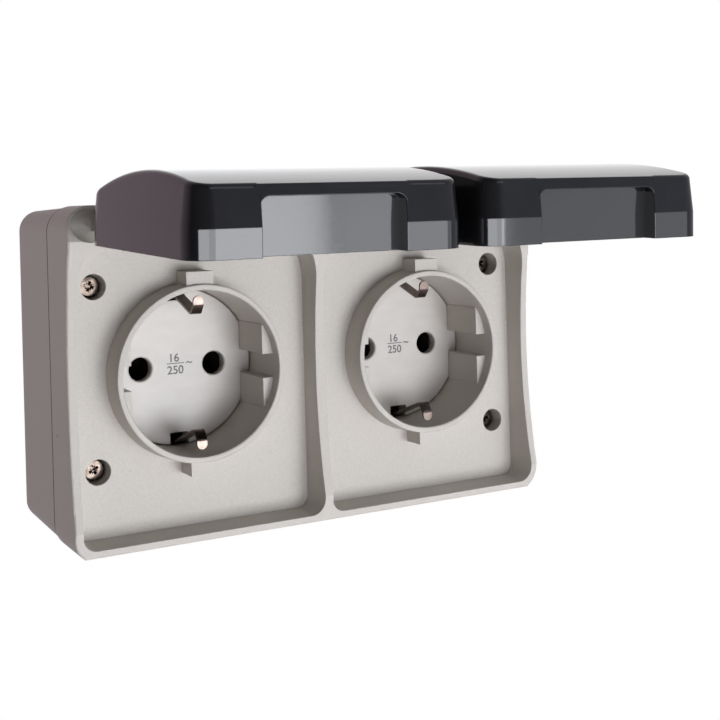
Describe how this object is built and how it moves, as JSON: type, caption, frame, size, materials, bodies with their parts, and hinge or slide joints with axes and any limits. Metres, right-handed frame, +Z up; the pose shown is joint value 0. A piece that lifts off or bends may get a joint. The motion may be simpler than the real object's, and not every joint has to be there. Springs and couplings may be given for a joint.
{
  "type": "outdoor weatherproof socket",
  "caption": "Surface-mounted outdoor twin socket outlet with side earth contacts: grey housing, plug recesses in collars, and dark hinged lids that shut over them.",
  "frame": {"origin": "centre of the wall face, at the centre of the four wall fixing holes", "axes": "+X to the right as seen by the user, +Y into the wall, +Z up"},
  "size_m": [0.1264, 0.1136, 0.0878],
  "materials": {
    "housing": "fine-grained light warm grey",
    "lid": "satin anthracite",
    "socket_face": "smooth light grey",
    "carrier": "plain moulded",
    "contact_metal": "nickel-plated",
    "screw_metal": "plated steel",
    "pin_metal": "drawn wire",
    "seal_rubber": "soft rubber"
  },
  "bodies": {
    "base": {"back_box": "housing", "box_gasket": "seal_rubber", "front_cover": "housing", "cover_screws": "screw_metal", "cable_grommet": "seal_rubber", "hinge_pin_left": "pin_metal", "face_plate_left": "socket_face", "contact_carrier_left": "carrier", "earth_bow_left": "contact_metal", "line_contact_left": "contact_metal", "neutral_contact_left": "contact_metal", "terminal_screws_left": "screw_metal", "insert_screws_left": "screw_metal", "hinge_pin_right": "pin_metal", "face_plate_right": "socket_face", "contact_carrier_right": "carrier", "earth_bow_right": "contact_metal", "line_contact_right": "contact_metal", "neutral_contact_right": "contact_metal", "terminal_screws_right": "screw_metal", "insert_screws_right": "screw_metal"},
    "lid_left_body": {"lid_left": "lid", "lid_seal_left": "seal_rubber"},
    "lid_right_body": {"lid_right": "lid", "lid_seal_right": "seal_rubber"}
  },
  "joints": [
    {"name": "lid_left_hinge", "type": "hinge", "parent": "base", "child": "lid_left_body", "pos_m": [-0.0313, -0.0423, 0.0362], "axis": [1, 0, 0], "range_deg": [-12, 88]},
    {"name": "lid_right_hinge", "type": "hinge", "parent": "base", "child": "lid_right_body", "pos_m": [0.0313, -0.0423, 0.0362], "axis": [1, 0, 0], "range_deg": [-12, 88]}
  ]
}
